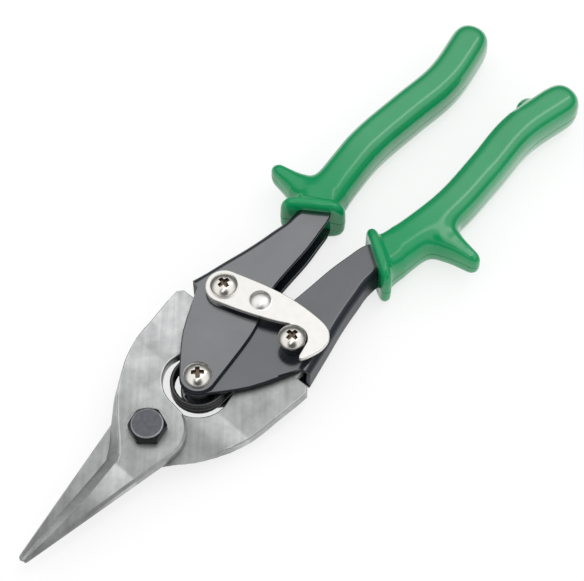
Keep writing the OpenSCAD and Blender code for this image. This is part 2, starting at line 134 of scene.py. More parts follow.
def solid_copy(node, name):
    piece = bpy.data.objects.new(name, frame["nodes"][node].data.copy())
    bpy.context.scene.collection.objects.link(piece)
    piece.data.materials.clear()
    make_active(piece)
    bpy.ops.mesh.customdata_custom_splitnormals_clear()
    bpy.ops.object.shade_smooth()
    start_edit(piece, "VERT")
    bpy.ops.mesh.select_all(action="SELECT")
    bpy.ops.mesh.remove_doubles(threshold=MERGE)
    bpy.ops.mesh.dissolve_limited(angle_limit=FLAT)
    end_edit()
    return piece


def weld(piece, distance, wanted=lambda v: True):
    """Joins points that are closer than a bevel has room for."""
    start_edit(piece, "VERT")
    pick(piece, "verts", wanted)
    bpy.ops.mesh.remove_doubles(threshold=distance)
    end_edit()


def round_edges(piece, radius, segments=2, angle=30):
    """Bevels the edges that bend by more than an angle."""
    apply_modifier(piece, "BEVEL", width=radius, segments=segments, limit_method="ANGLE",
                   angle_limit=math.radians(angle))


def hand_over(piece, node, angle=32, weighted=True):
    """The finished piece stands for its solid and moves with the solid's body."""
    make_active(piece)
    bpy.ops.object.transform_apply(location=True, rotation=True, scale=True)
    bpy.ops.object.shade_smooth_by_angle(angle=math.radians(angle))
    if weighted:
        apply_modifier(piece, "WEIGHTED_NORMAL", keep_sharp=True)
    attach(piece, frame["nodes"][node]["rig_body"])
    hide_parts(node)


# %% [markdown]
# ## Camera
# The picture is taken from above the jaws' left, 60 cm away, with a long lens and the whole tool in view.
# From that far, the grips look nearly as large as the jaws. The camera stands by a distance and two angles
# from a point in the middle of the tool, because these are easier to read and to change than a place and a
# turn.

# %% Camera
aim = Vector((70.57, 1.57, 7.5)) * MM
camera_distance = 599.75 * MM
camera_azimuth = math.radians(-48.65)
camera_elevation = math.radians(59.32)
back = Vector((math.sin(camera_azimuth) * math.cos(camera_elevation),
               -math.cos(camera_azimuth) * math.cos(camera_elevation),
               math.sin(camera_elevation)))
bpy.ops.object.camera_add(location=aim + back * camera_distance)
camera = bpy.context.object
camera.rotation_euler = (-back).to_track_quat("-Z", "Y").to_euler()
camera.data.sensor_width = 36
camera.data.lens = 110.96
bpy.context.scene.camera = camera
bpy.context.scene.view_settings.view_transform = "Standard"
print("camera", [round(x, 4) for x in camera.location])

# %% [markdown]
# ## Studio
# Bare metal shows what stands around it, so lamps alone are not enough, and the room is drawn too: a white
# table under a broad white ceiling, with a long strip light overhead that lies along the tool and runs as a
# bright line along its rounded ridges. Below the ceiling the room is dim, and it is darkest around the
# camera on its stand: in reflections this draws a dark line along every rounded edge, and a dark spot on
# every dome. The table and the room look so to the lens and in mirrors, by Light Path, while the diffuse
# light is plain white and even. The table keeps the shadow.

# %% World
ROOM_LEVEL = 0.78
MIRROR_LEVEL = 1.12
DOWN = Vector((0, 0, -1))
DIM_REACH = (-0.74, -0.34)
DIM_LEVEL = 0.14
STAND_REACH = (0.86, 0.97)
STAND_LEVEL = 0.08
WHITE = (1, 1, 1, 1)


def join(tree, source, output, target, entry):
    tree.links.new(source.outputs[output], target.inputs[entry])


def add_node(tree, kind, values=(), **settings):
    node = tree.nodes.new(kind)
    for name, value in settings.items():
        setattr(node, name, value)
    for name, value in dict(values).items():
        node.inputs[name].default_value = value
    return node


def seen_rays(tree):
    """1 for rays from the lens, from a mirror or through glass, and 0 for diffuse light."""
    path = add_node(tree, "ShaderNodeLightPath")
    first = add_node(tree, "ShaderNodeMath", operation="MAXIMUM")
    join(tree, path, "Is Camera Ray", first, 0)
    join(tree, path, "Is Glossy Ray", first, 1)
    both = add_node(tree, "ShaderNodeMath", operation="MAXIMUM")
    join(tree, first, 0, both, 0)
    join(tree, path, "Is Transmission Ray", both, 1)
    return both


world = bpy.data.worlds.new("white_room")
world.use_nodes = True
bpy.context.scene.world = world
room = world.node_tree
even = room.nodes["Background"]
even.inputs["Color"].default_value = WHITE
even.inputs["Strength"].default_value = ROOM_LEVEL
bright = add_node(room, "ShaderNodeBackground", {"Strength": MIRROR_LEVEL})
view_way = add_node(room, "ShaderNodeTexCoord")


def darken_toward(way, start, full, level):
    """1 over most of the room, falling to a level where the view is near one way."""
    nearness = add_node(room, "ShaderNodeVectorMath", {1: way}, operation="DOT_PRODUCT")
    join(room, view_way, "Generated", nearness, 0)
    fall = add_node(room, "ShaderNodeMapRange", interpolation_type="SMOOTHSTEP",
                    values={"From Min": start, "From Max": full, "To Min": 1, "To Max": level})
    join(room, nearness, "Value", fall, "Value")
    return fall


shade = add_node(room, "ShaderNodeMath", operation="MULTIPLY")
join(room, darken_toward(DOWN, *DIM_REACH, DIM_LEVEL), 0, shade, 0)
join(room, darken_toward(back, *STAND_REACH, STAND_LEVEL), 0, shade, 1)
join(room, shade, 0, bright, "Color")
choice = add_node(room, "ShaderNodeMixShader")
join(room, seen_rays(room), 0, choice, 0)
join(room, even, 0, choice, 1)
join(room, bright, 0, choice, 2)
join(room, choice, 0, room.nodes["World Output"], "Surface")
print("world nodes", len(room.nodes))

# %% Table
TABLE_SIZE = 6
TABLE_WHITE = (0.86, 0.86, 0.86, 1)
TABLE_GLOW = 0.6
GLOW_STRENGTH = 1.2
bpy.ops.object.select_all(action="DESELECT")
bpy.ops.mesh.primitive_plane_add(size=TABLE_SIZE, location=(0, 0, 0))
table = bpy.context.object
table.name = "table"
white = bpy.data.materials.new("white_table")
white.use_nodes = True
tree = white.node_tree
tree.nodes.remove(tree.nodes["Principled BSDF"])
matt = add_node(tree, "ShaderNodeBsdfDiffuse", {"Color": TABLE_WHITE})
glow = add_node(tree, "ShaderNodeEmission", {"Color": WHITE, "Strength": GLOW_STRENGTH})
share = add_node(tree, "ShaderNodeMath", {1: TABLE_GLOW}, operation="MULTIPLY")
blend = add_node(tree, "ShaderNodeMixShader")
join(tree, seen_rays(tree), 0, share, 0)
join(tree, share, 0, blend, 0)
join(tree, matt, 0, blend, 1)
join(tree, glow, 0, blend, 2)
join(tree, blend, 0, tree.nodes["Material Output"], "Surface")
table.data.materials.append(white)
print("table", TABLE_SIZE, "m wide")

# %% Strip light
STRIP_LONG = 1.8
STRIP_WIDE = 0.2
STRIP_RADIANCE = 1.6
STRIP_OFFSET = Vector((0.4, -0.14, 1.0))
bpy.ops.object.light_add(type="AREA", location=aim + STRIP_OFFSET)
strip = bpy.context.object
strip.name = "strip"
strip.data.shape = "RECTANGLE"
strip.data.size = STRIP_LONG
strip.data.size_y = STRIP_WIDE
strip.data.energy = STRIP_RADIANCE * math.pi * STRIP_LONG * STRIP_WIDE
print("strip watts", round(strip.data.energy, 2))

# %% [markdown]
# ## Shared surface effects
# Four effects come back in several finishes, so each is a node group: patches and grain that make one metal
# differ from place to place, the fine parallel lines of a grinding belt, a mask of the faces that lie level,
# and a slow run from one end of a piece to the other. A group gives out masks only. The shader stays in each
# finish.

# %% Effect groups
NOISE_SPAN = (0.3, 0.7)


def new_group(name, inputs, outputs):
    group = bpy.data.node_groups.new(name, "ShaderNodeTree")
    for label, value in inputs.items():
        kind = "NodeSocketVector" if isinstance(value, tuple) else "NodeSocketFloat"
        socket = group.interface.new_socket(name=label, in_out="INPUT", socket_type=kind)
        socket.default_value = value
    for label in outputs:
        group.interface.new_socket(name=label, in_out="OUTPUT", socket_type="NodeSocketFloat")
    return group, add_node(group, "NodeGroupInput"), add_node(group, "NodeGroupOutput")


def spread(tree, source, output, low, high):
    """Stretches a value so that low becomes 0 and high becomes 1."""
    node = add_node(tree, "ShaderNodeMapRange", {"From Min": low, "From Max": high})
    join(tree, source, output, node, "Value")
    return node


def make_patches_and_grain():
    group, start, end = new_group("patches_and_grain", {"Patches": 300.0, "Grain": 3000.0},
                                  ["Patches", "Grain"])
    where = add_node(group, "ShaderNodeTexCoord")
    for label, detail in (("Patches", 5.0), ("Grain", 2.0)):
        noise = add_node(group, "ShaderNodeTexNoise", {"Detail": detail, "Roughness": 0.6})
        join(group, where, "Object", noise, "Vector")
        join(group, start, label, noise, "Scale")
        join(group, spread(group, noise, "Fac", *NOISE_SPAN), 0, end, label)
    return group


def make_level_faces():
    group, start, end = new_group("level_faces", {"From": 0.94, "To": 0.995}, ["Level"])
    where = add_node(group, "ShaderNodeTexCoord")
    split = add_node(group, "ShaderNodeSeparateXYZ")
    join(group, where, "Normal", split, 0)
    steep = add_node(group, "ShaderNodeMath", operation="ABSOLUTE")
    join(group, split, "Z", steep, 0)
    level = add_node(group, "ShaderNodeMapRange")
    join(group, steep, 0, level, "Value")
    join(group, start, "From", level, "From Min")
    join(group, start, "To", level, "From Max")
    join(group, level, 0, end, "Level")
    return group


def make_belt_lines():
    inputs = {"Turn": (0.0, 0.0, 0.0), "Stretch": (60.0, 2600.0, 600.0)}
    group, start, end = new_group("belt_lines", inputs, ["Lines"])
    where = add_node(group, "ShaderNodeTexCoord")
    turned = add_node(group, "ShaderNodeMapping")
    join(group, where, "Object", turned, "Vector")
    join(group, start, "Turn", turned, "Rotation")
    long = add_node(group, "ShaderNodeMapping")
    join(group, turned, 0, long, "Vector")
    join(group, start, "Stretch", long, "Scale")
    noise = add_node(group, "ShaderNodeTexNoise", {"Scale": 1.0, "Detail": 3.0})
    join(group, long, 0, noise, "Vector")
    join(group, spread(group, noise, "Fac", *NOISE_SPAN), 0, end, "Lines")
    return group


def make_end_to_end():
    group, start, end = new_group("end_to_end", {"From": 0.0, "To": 1.0}, ["Run"])
    where = add_node(group, "ShaderNodeTexCoord")
    split = add_node(group, "ShaderNodeSeparateXYZ")
    join(group, where, "Object", split, 0)
    run = add_node(group, "ShaderNodeMapRange")
    join(group, split, "X", run, "Value")
    join(group, start, "From", run, "From Min")
    join(group, start, "To", run, "From Max")
    join(group, run, 0, end, "Run")
    return group


patches_and_grain = make_patches_and_grain()
level_faces = make_level_faces()
belt_lines = make_belt_lines()
end_to_end = make_end_to_end()
print("effect groups", [g.name for g in bpy.data.node_groups])

# %% [markdown]
# ## Finishes
# Every finish is one Principled shader. What is the same all over is set on its sockets. Colour and
# roughness run between two values by the masks of the groups, and grain and lines lift the surface by a
# hair.

# %% Finish builder
LIFT_HEIGHT = 0.02 * MM


def new_finish(name, **sockets):
    finish = bpy.data.materials.new(name)
    finish.use_nodes = True
    shader = finish.node_tree.nodes["Principled BSDF"]
    for label, value in sockets.items():
        shader.inputs[label.replace("_", " ")].default_value = value
    return finish, finish.node_tree, shader


def use_group(tree, group, **values):
    node = add_node(tree, "ShaderNodeGroup", node_tree=group)
    for label, value in values.items():
        node.inputs[label].default_value = value
    return node


def between(tree, mask, output, low, high):
    """A colour that runs from low to high with a mask."""
    mix = add_node(tree, "ShaderNodeMix", data_type="RGBA")
    mix.inputs[6].default_value = (*low, 1)
    mix.inputs[7].default_value = (*high, 1)
    join(tree, mask, output, mix, 0)
    return mix


def ranged(tree, mask, output, low, high):
    """A number that runs from low to high with a mask."""
    node = add_node(tree, "ShaderNodeMapRange", {"To Min": low, "To Max": high})
    join(tree, mask, output, node, "Value")
    return node


def lift(tree, shader, heights, strength):
    """Raises the surface by one or two masks."""
    bump = add_node(tree, "ShaderNodeBump", {"Distance": LIFT_HEIGHT, "Strength": strength})
    source, output = heights[0]
    if len(heights) > 1:
        total = add_node(tree, "ShaderNodeMath", operation="ADD")
        for i, (mask, label) in enumerate(heights):
            join(tree, mask, label, total, i)
        source, output = total, 0
    join(tree, source, output, bump, "Height")
    join(tree, bump, 0, shader, "Normal")


def plain_finish(name, colours, roughness, patches, grain, strength=0.2, **sockets):
    """A finish with patches of colour and gloss and a fine grain."""
    finish, tree, shader = new_finish(name, **sockets)
    masks = use_group(tree, patches_and_grain, Patches=patches, Grain=grain)
    colour = between(tree, masks, "Patches", *colours)
    join(tree, colour, 2, shader, "Base Color")
    join(tree, ranged(tree, masks, "Patches", *roughness), 0, shader, "Roughness")
    lift(tree, shader, [(masks, "Grain")], strength)
    return finish


# %% [markdown]
# Forged steel is not one grey. Along each blade, from jaw to tail, the grey is painted light: stretches
# where the steel catches the light are drawn lighter and others darker, and some start at a clear line.
# Noise alone would make clouds but no such line, so a ramp from end to end of the blade paints this light,
# as pairs of a place in millimetres and a grey, and patches and soft streaks play over it. The jaw's slopes
# are ground across, and the rims are drawn bright as a painted highlight, so each has a ramp of its own.

# %% Steel finish
STEEL_TINT = Vector((0.985, 0.995, 1))
MOTTLE = (0.76, 1.16)
STREAK = (0.9, 1.08)


def greys(span):
    return [(grey, grey, grey) for grey in span]


def times(tree, first, second):
    """The product of two colours."""
    mix = add_node(tree, "ShaderNodeMix", {0: 1.0}, data_type="RGBA", blend_type="MULTIPLY")
    for entry, (source, output) in zip((6, 7), (first, second)):
        join(tree, source, output, mix, entry)
    return mix


def steel_finish(name, painted_light, roughness, turn, streaks, lines):
    finish, tree, shader = new_finish(name, Metallic=1.0)
    masks = use_group(tree, patches_and_grain, Patches=130.0, Grain=2600.0)
    belt = use_group(tree, belt_lines, Turn=(0.0, 0.0, math.radians(turn)), Stretch=streaks)
    first, last = painted_light[0][0], painted_light[-1][0]
    run = use_group(tree, end_to_end, From=first * MM, To=last * MM)
    # This ramp is painted light: the piece is drawn lighter and darker in stretches from end to end.
    painted_light_ramp = add_node(tree, "ShaderNodeValToRGB")
    join(tree, run, 0, painted_light_ramp, 0)
    stops = painted_light_ramp.color_ramp.elements
    for i, (place, lit_grey) in enumerate(painted_light):
        share = (place - first) / (last - first)
        stop = stops[0] if i == 0 else stops[-1] if place == last else stops.new(share)
        stop.color = (*(lit_grey * STEEL_TINT), 1)
    mottle = between(tree, masks, "Patches", *greys(MOTTLE))
    streak = between(tree, belt, "Lines", *greys(STREAK))
    colour = times(tree, (times(tree, (painted_light_ramp, 0), (mottle, 2)), 2), (streak, 2))
    join(tree, colour, 2, shader, "Base Color")
    join(tree, ranged(tree, masks, "Grain", *roughness), 0, shader, "Roughness")
    lift(tree, shader, [(masks, "Grain"), (belt, "Lines")], lines)
    return finish


# %% Steel of the blades
SOFT_STREAKS = (25.0, 650.0, 300.0)
FINE_LINES = (60.0, 2600.0, 600.0)
ALONG = -41
ACROSS = 60
FACED = (0.38, 0.48)
GROUND = (0.4, 0.5)
HIGHLIGHT_GLOSS = (0.44, 0.54)
# Painted light: a place along the blade in millimetres, and how light the steel is drawn there.
FRONT_PAINTED_LIGHT = [(-75, 0.17), (-50, 0.19), (-33, 0.25), (-22, 0.5), (-16, 0.6), (-15, 0.37), (0, 0.4),
               (4, 0.44), (8, 0.52), (14, 0.57), (27, 0.64), (60, 0.68)]
REAR_PAINTED_LIGHT = [(-80, 0.2), (-42, 0.245), (-23, 0.37), (0, 0.34), (11, 0.34), (16, 0.5), (19.3, 0.58),
              (20.2, 0.43), (37, 0.43), (62, 0.40)]
GROUND_PAINTED_LIGHT = [(-90, 0.46), (-40, 0.54), (-14, 0.4), (10, 0.36)]
# Painted highlight: the rims and the outer chamfers are drawn in a lighter steel.
FRONT_RIM_HIGHLIGHT = [(-90, 0.42), (-30, 0.47), (-12, 0.6), (10, 0.78), (60, 0.88)]
REAR_RIM_HIGHLIGHT = [(-90, 0.46), (-40, 0.5), (60, 0.6)]
front_steel = steel_finish("front_steel", FRONT_PAINTED_LIGHT, FACED, ALONG, SOFT_STREAKS, 0.15)
rear_steel = steel_finish("rear_steel", REAR_PAINTED_LIGHT, FACED, ALONG, SOFT_STREAKS, 0.15)
ground_steel = steel_finish("ground_steel", GROUND_PAINTED_LIGHT, GROUND, ACROSS, FINE_LINES, 0.3)
front_highlight_steel = steel_finish("front_highlight_steel", FRONT_RIM_HIGHLIGHT, HIGHLIGHT_GLOSS, ALONG, FINE_LINES, 0.1)
rear_highlight_steel = steel_finish("rear_highlight_steel", REAR_RIM_HIGHLIGHT, HIGHLIGHT_GLOSS, ALONG, FINE_LINES, 0.1)
print("tones on the front blade", len(FRONT_PAINTED_LIGHT), "on the rear blade", len(REAR_PAINTED_LIGHT))

# %% [markdown]
# The paint is glossy where the sheet lies level and has been handled, and dull on folds and cut edges,
# where it went on at a slant. Two materials would meet at a hard line, so one material asks at each point
# how level the face lies, and this mask steers its coat and its gloss. The left handle, which lies on top,
# has the fuller coat.

# %% Paint
FOLD_ROUGHNESS = 0.4
LEVEL_ROUGHNESS = (0.2, 0.32)
THIN_COAT = 0.86


def toward(tree, mask, output, low, goal):
    """A number that runs from low to what another node gives, with a mask."""
    node = add_node(tree, "ShaderNodeMapRange", {"To Min": low})
    join(tree, mask, output, node, "Value")
    join(tree, goal, 0, node, "To Max")
    return node


def paint_finish(name, coat):
    finish, tree, shader = new_finish(name, Specular_IOR_Level=0.4, Specular_Tint=(0.80, 0.90, 1.0, 1),
                                      Coat_Roughness=0.16, Coat_IOR=2.55, Coat_Tint=(0.86, 0.93, 1.0, 1))
    masks = use_group(tree, patches_and_grain, Patches=60.0, Grain=1500.0)
    level = use_group(tree, level_faces)
    colour = between(tree, masks, "Patches", (0.010, 0.012, 0.016), (0.018, 0.020, 0.025))
    join(tree, colour, 2, shader, "Base Color")
    level_gloss = ranged(tree, masks, "Patches", *LEVEL_ROUGHNESS)
    join(tree, toward(tree, level, "Level", FOLD_ROUGHNESS, level_gloss), 0, shader, "Roughness")
    level_coat = ranged(tree, masks, "Patches", THIN_COAT * coat, coat)
    join(tree, toward(tree, level, "Level", 0.0, level_coat), 0, shader, "Coat Weight")
    lift(tree, shader, [(masks, "Grain")], 0.08)
    return finish


left_paint = paint_finish("left_paint", 1.0)
right_paint = paint_finish("right_paint", 0.7)
print("paints", left_paint.name, right_paint.name)

# %% [markdown]
# Fasteners are blackened or nickel plated, and each coat is a metal with its own colour, gloss and grain.
# They differ only in numbers, so one builder makes them all. The bolt takes three copies of one black: its
# sides are darkest, its top face is drawn paler as painted light, and its rim palest as a painted highlight.
# A cross recess is drawn darker and browner than its screw, as painted shade, and the latch is whiter and
# duller than the screws. The spring's wire is black under a thin coat of oil.

# %% Plated and blackened finishes
black_oxide = plain_finish("black_oxide", ((0.025, 0.026, 0.028), (0.05, 0.052, 0.056)), (0.36, 0.5), 700.0,
                           4000.0, Metallic=0.9)
# Painted light: a paler black for the bolt's top face, and a still paler one for its rim as a painted
# highlight.
lit_top_oxide = plain_finish("lit_top_oxide", ((0.095, 0.1, 0.112), (0.15, 0.156, 0.17)), (0.36, 0.5), 700.0,
                           4000.0, Metallic=0.9)
rim_highlight_oxide = plain_finish("rim_highlight_oxide", ((0.22, 0.225, 0.24), (0.34, 0.345, 0.36)), (0.3, 0.42), 900.0,
                          4000.0, Metallic=0.9)
bright_nickel = plain_finish("bright_nickel", ((0.72, 0.69, 0.64), (0.82, 0.80, 0.75)), (0.14, 0.24), 500.0,
                             3500.0, strength=0.08, Metallic=1.0)
latch_nickel = plain_finish("latch_nickel", ((0.80, 0.79, 0.76), (0.86, 0.85, 0.82)), (0.26, 0.36), 400.0,
                            3000.0, strength=0.1, Metallic=1.0)
# Painted shade: the cross recesses are drawn dark brown.
recess_shade = plain_finish("recess_shade", ((0.10, 0.075, 0.05), (0.26, 0.21, 0.16)), (0.3, 0.5), 1500.0,
                            3000.0, Metallic=0.9)
spring_black = plain_finish("spring_black", ((0.014, 0.014, 0.015), (0.026, 0.026, 0.028)), (0.25, 0.38),
                            600.0, 3500.0, Coat_Weight=0.4, Coat_Roughness=0.2)
print("blacks on the bolt", black_oxide.name, lit_top_oxide.name, rim_highlight_oxide.name)

# %% [markdown]
# The vinyl is as dull as it left the mould around the collar and the spur, and hands have polished the long
# back. A second material would end at a seam, so a run along the grip turns the dull skin into the polished
# one.

# %% Vinyl
NECK_END = 108 * MM
BACK_START = 132 * MM
POLISH = (0.05, 0.9)
green_vinyl = plain_finish("green_vinyl", ((0.002, 0.315, 0.105), (0.0025, 0.35, 0.12)), (0.14, 0.2), 90.0,
                           2200.0, strength=0.05, Coat_Roughness=0.12)
tree = green_vinyl.node_tree
polish = use_group(tree, end_to_end, From=NECK_END, To=BACK_START)
join(tree, ranged(tree, polish, "Run", *POLISH), 0, tree.nodes["Principled BSDF"], "Coat Weight")
print("finishes", len(bpy.data.materials))

# %% [markdown]
# ## Blades
# Each blade is a drop forging, tumbled to a soft grey, with its cutting bevel ground afterwards. The
# forging's corners are slightly round. A modifier would round every sharp edge, the cutting edge too, so
# the rims of both faces are picked in edit mode and get a small bevel. The bevel is drawn in lighter steel,
# a painted highlight, and so are the chamfers on the outer side. A bevel folds where edges are too short
# for it, so close points are welded first. The cutting edge with its narrow land, the upper edge of the
# jaw's slope and the tip stay sharp.
# The slopes get a finish of their own with lines across the edge. Around the bolt, a shallow spot face is
# cut with a round bar. The two blades slide on each other, and their meeting faces are drawn a hair apart.

# %% Where a blade is round, ground or given a painted highlight
BLADE_ROUND = 0.6 * MM
BLADE_WELD = 0.25 * MM
SPOT_R = 7.3 * MM
SPOT_DEPTH = 0.12 * MM
SPOT_CLEAR = SPOT_R + MM
BORE_CLEAR = 6 * MM
TIP_END = 1.6 * MM
CORNER = math.radians(30)
TALL = 1 * MM
FLAT_Z = 0.9
UPRIGHT_Z = 0.3
ON_FACE = 0.05 * MM
GROUND_Z = (0.3, 0.96)
HIGHLIGHT_Z = (0.2, 0.96)
SIDE_Y = 0.1
SLIVER = 0.8 * MM * MM
SHEAR_GAP = 0.02 * MM
ROUND_SIDES = 64


def is_rim(edge, face_z, tip_x, bore):
    """True on an edge between a flat and a wall, away from tip, spot face and bore."""
    first, last = (v.co for v in edge.verts)
    flats = [f for f in edge.link_faces if abs(f.normal.z) > FLAT_Z]
    walls = [f for f in edge.link_faces if abs(f.normal.z) < FLAT_Z]
    if len(flats) != 1 or len(walls) != 1:
        return False
    heights = [v.co.z for v in walls[0].verts]
    tall = max(heights) - min(heights) > TALL
    upright = abs(walls[0].normal.z) < UPRIGHT_Z
    level = max(abs(first.z - face_z), abs(last.z - face_z)) < ON_FACE
    clear = first.xy.length > SPOT_CLEAR and (first - bore).xy.length > BORE_CLEAR
    at_tip = max(first.x, last.x) < tip_x + TIP_END
    sharp = edge.calc_face_angle(0) > CORNER
    return tall and clear and (upright or level) and not at_tip and sharp


def is_ground(face, up):
    rise = face.normal.z * up
    return GROUND_Z[0] < rise < GROUND_Z[1] and face.normal.y * up > SIDE_Y and face.calc_area() > SLIVER


def is_chamfer(face, up):
    rise = face.normal.z * up
    return HIGHLIGHT_Z[0] < rise < HIGHLIGHT_Z[1] and face.normal.y * up < -SIDE_Y


def give_finish(piece, number):
    """Gives the picked faces one of the piece's finishes."""
    piece.active_material_index = number
    bpy.ops.object.material_slot_assign()


# %% Blades
shear_plane = (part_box("front_blade")[0].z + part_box("rear_blade")[1].z) / 2
blades = {"front_blade": (1, front_steel, front_highlight_steel, "left_tail_bush"),
          "rear_blade": (-1, rear_steel, rear_highlight_steel, "right_tail_bush")}
for node, (up, steel, highlight_steel, bush) in blades.items():
    bore = sum(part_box(bush), Vector()) / 2
    blade = solid_copy(node, node + "_forging")
    for finish in (steel, ground_steel, highlight_steel):
        blade.data.materials.append(finish)
    weld(blade, BLADE_WELD, lambda v: v.co.xy.length > SPOT_CLEAR)
    low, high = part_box(node)
    face_z = high.z if up > 0 else low.z
    bpy.ops.object.select_all(action="DESELECT")
    bpy.ops.mesh.primitive_cylinder_add(vertices=ROUND_SIDES, radius=SPOT_R, depth=2 * SPOT_DEPTH,
                                        location=(0, 0, face_z))
    spot = bpy.context.object
    spot.data.materials.append(steel)
    apply_modifier(blade, "BOOLEAN", object=spot, operation="DIFFERENCE", solver="EXACT")
    bpy.data.objects.remove(spot)
    start_edit(blade, "EDGE")
    rims = pick(blade, "edges", lambda e: is_rim(e, face_z, low.x, bore))
    # The rim bevel takes the third finish, a painted highlight of lighter steel.
    bpy.ops.mesh.bevel(offset=BLADE_ROUND, segments=4, affect="EDGES", clamp_overlap=False, material=2)
    bpy.ops.mesh.select_mode(type="FACE")
    ground = pick(blade, "faces", lambda f: is_ground(f, up))
    give_finish(blade, 1)
    # The outer chamfers take the same painted highlight.
    chamfers = pick(blade, "faces", lambda f: is_chamfer(f, up))
    give_finish(blade, 2)
    end_edit()
    start_edit(blade, "VERT")
    meeting = pick(blade, "verts", lambda v: abs(v.co.z - shear_plane) < 5 * MERGE)
    bpy.ops.transform.translate(value=(0, 0, up * SHEAR_GAP))
    end_edit()
    print(node, "rim edges", rims, "ground", ground, "painted_highlight", chamfers, "meeting points", meeting)
    hand_over(blade, node)

# %% [markdown]
# ## Handle frames
# Each handle is one sheet folded along its spine. A fold has an outside radius of about the sheet's
# thickness, and a cut edge is only broken a little. One modifier can't tell them apart, so the spine's long
# edges are picked and bevelled widely first, from the fold's front end until they are inside the grip, and
# then the cut edges. The drilled holes stay sharp under their screws, and so does the corner where a fold
# begins.

# %% Where a sheet is folded or cut
FOLD = 2.7 * MM
SHEET_EDGE = 0.7 * MM
CUT = math.radians(40)
HOLE_REACH = 5 * MM
SAME = 0.01 * MM
WALL_Z = 0.1
OUTWARD_Y = 0.6
FOLD_CORNER_Y = 20 * MM
FOLD_SET_BACK = 0.9 * MM
FOLD_IN_GRIP = 12 * MM
fold_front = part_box("left_link_screw")[0].x + FOLD_SET_BACK
fold_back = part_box("left_grip")[0].x + FOLD_IN_GRIP
drilled = ("handle_pivot_screw", "left_link_screw", "catch_screw")
holes = [sum(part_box(node), Vector()) / 2 for node in drilled]
print("folds run from mm", round(fold_front / MM, 1), "to", round(fold_back / MM, 1))


def in_hole(edge):
    return any((edge.verts[0].co - hole).xy.length < HOLE_REACH for hole in holes)


def is_fold(edge, side, low, high):
    """True on the spine's long outer edges, at the top and at the bottom."""
    first, last = (v.co for v in edge.verts)
    level = min(abs(first.z - low.z), abs(first.z - high.z)) < SAME and abs(first.z - last.z) < SAME
    outside = any(abs(f.normal.z) < WALL_Z and f.normal.y * side > OUTWARD_Y for f in edge.link_faces)
    within = all(fold_front < p.x < fold_back for p in (first, last))
    return level and outside and within and not in_hole(edge)


def is_cut(edge, side):
    at_fold = any(v.co.x < fold_front + MM and v.co.y * side > FOLD_CORNER_Y for v in edge.verts)
    return edge.calc_face_angle(0) > CUT and not in_hole(edge) and not at_fold


# %% Handle frames
frames = {"left_handle_frame": (1, left_paint), "right_handle_frame": (-1, right_paint)}
for node, (side, paint) in frames.items():
    low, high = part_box(node)
    sheet = solid_copy(node, node + "_sheet")
    sheet.data.materials.append(paint)
    start_edit(sheet, "EDGE")
    folds = pick(sheet, "edges", lambda e: is_fold(e, side, low, high))
    bpy.ops.mesh.bevel(offset=FOLD, segments=6, profile=0.5, affect="EDGES", clamp_overlap=False)
    end_edit()
    start_edit(sheet, "EDGE")
    cuts = pick(sheet, "edges", lambda e: is_cut(e, side))
    bpy.ops.mesh.bevel(offset=SHEET_EDGE, segments=3, affect="EDGES", clamp_overlap=False)
    end_edit()
    print(node, "fold edges", folds, "cut edges", cuts)
    hand_over(sheet, node, angle=28)

# %% [markdown]
# ## Grips
# The grips are moulded vinyl in one piece with collar and spur, and every inner corner is a soft fillet.
# Bevels fail where so many forms meet, so the welded solid is remeshed into small even faces and smoothed,
# which turns hard joins into fillets. Walls over the tang are too thin for that, so a core first fills the
# hollow behind the mouth: the grip is cut just inside its collar, its inner skin is deleted, and the open
# end is closed. The remesh joins both. The collar's soft rim is drawn out first, to the sides and upward,
# because smoothing takes it back.

# %% Grip with a core
GRIP_VOXEL = 0.4 * MM
COLLAR = Vector((96, 14.5, 9.5)) * MM
COLLAR_LEAN = math.radians(34)
COLLAR_HALF = 1.8 * MM
COLLAR_REACH = 17 * MM
COLLAR_WIDER = 1.09
COLLAR_TALLER = 1.1
CORE_BACK = -1.55 * MM


def collar_frame(side):
    """The middle of the collar and the way into the grip."""
    middle = Vector((COLLAR.x, COLLAR.y * side, COLLAR.z))
    inward = Vector((math.cos(COLLAR_LEAN), math.sin(COLLAR_LEAN) * side, 0))
    return middle, inward


def widen_collar(grip, side):
    middle, inward = collar_frame(side)

    def on_collar(vert):
        offset = vert.co - middle
        return abs(offset.dot(inward)) < COLLAR_HALF and offset.length < COLLAR_REACH

    start_edit(grip, "VERT")
    found = pick(grip, "verts", on_collar)
    bpy.ops.transform.resize(value=(COLLAR_WIDER, COLLAR_WIDER, 1), center_override=middle)
    pick(grip, "verts", lambda v: on_collar(v) and v.co.z > middle.z)
    bpy.ops.transform.resize(value=(1, 1, COLLAR_TALLER), center_override=middle)
    end_edit()
    print(grip.name, "collar points", found)


def make_core(node, side):
    core = solid_copy(node, "core")
    middle, inward = collar_frame(side)
    start_edit(core, "VERT")
    bpy.ops.mesh.select_all(action="SELECT")
    bpy.ops.mesh.bisect(plane_co=middle + inward * CORE_BACK, plane_no=inward, clear_inner=True)
    end_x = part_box(node)[1].x
    pick(core, "verts", lambda v: v.co.x > end_x - MERGE)
    bpy.ops.mesh.select_linked()
    bpy.ops.mesh.select_all(action="INVERT")
    bpy.ops.mesh.delete(type="VERT")
    bpy.ops.mesh.select_all(action="SELECT")
    bpy.ops.mesh.fill_holes(sides=0)
    end_edit()
    return core


# %% [markdown]
# After a first light smoothing all over, everything behind the collar is smoothed much more, which crowns
# the grip's back, and the stretch past the spur once more. Weights fade the smoothing in behind the collar,
# and out at the tips of spur and nub, which would melt away. Smoothing shrinks a form, so the skin is then
# moved out again. Last comes the parting line of the mould: the skin is cut at half height and just above
# and below, and the middle cut is drawn in.

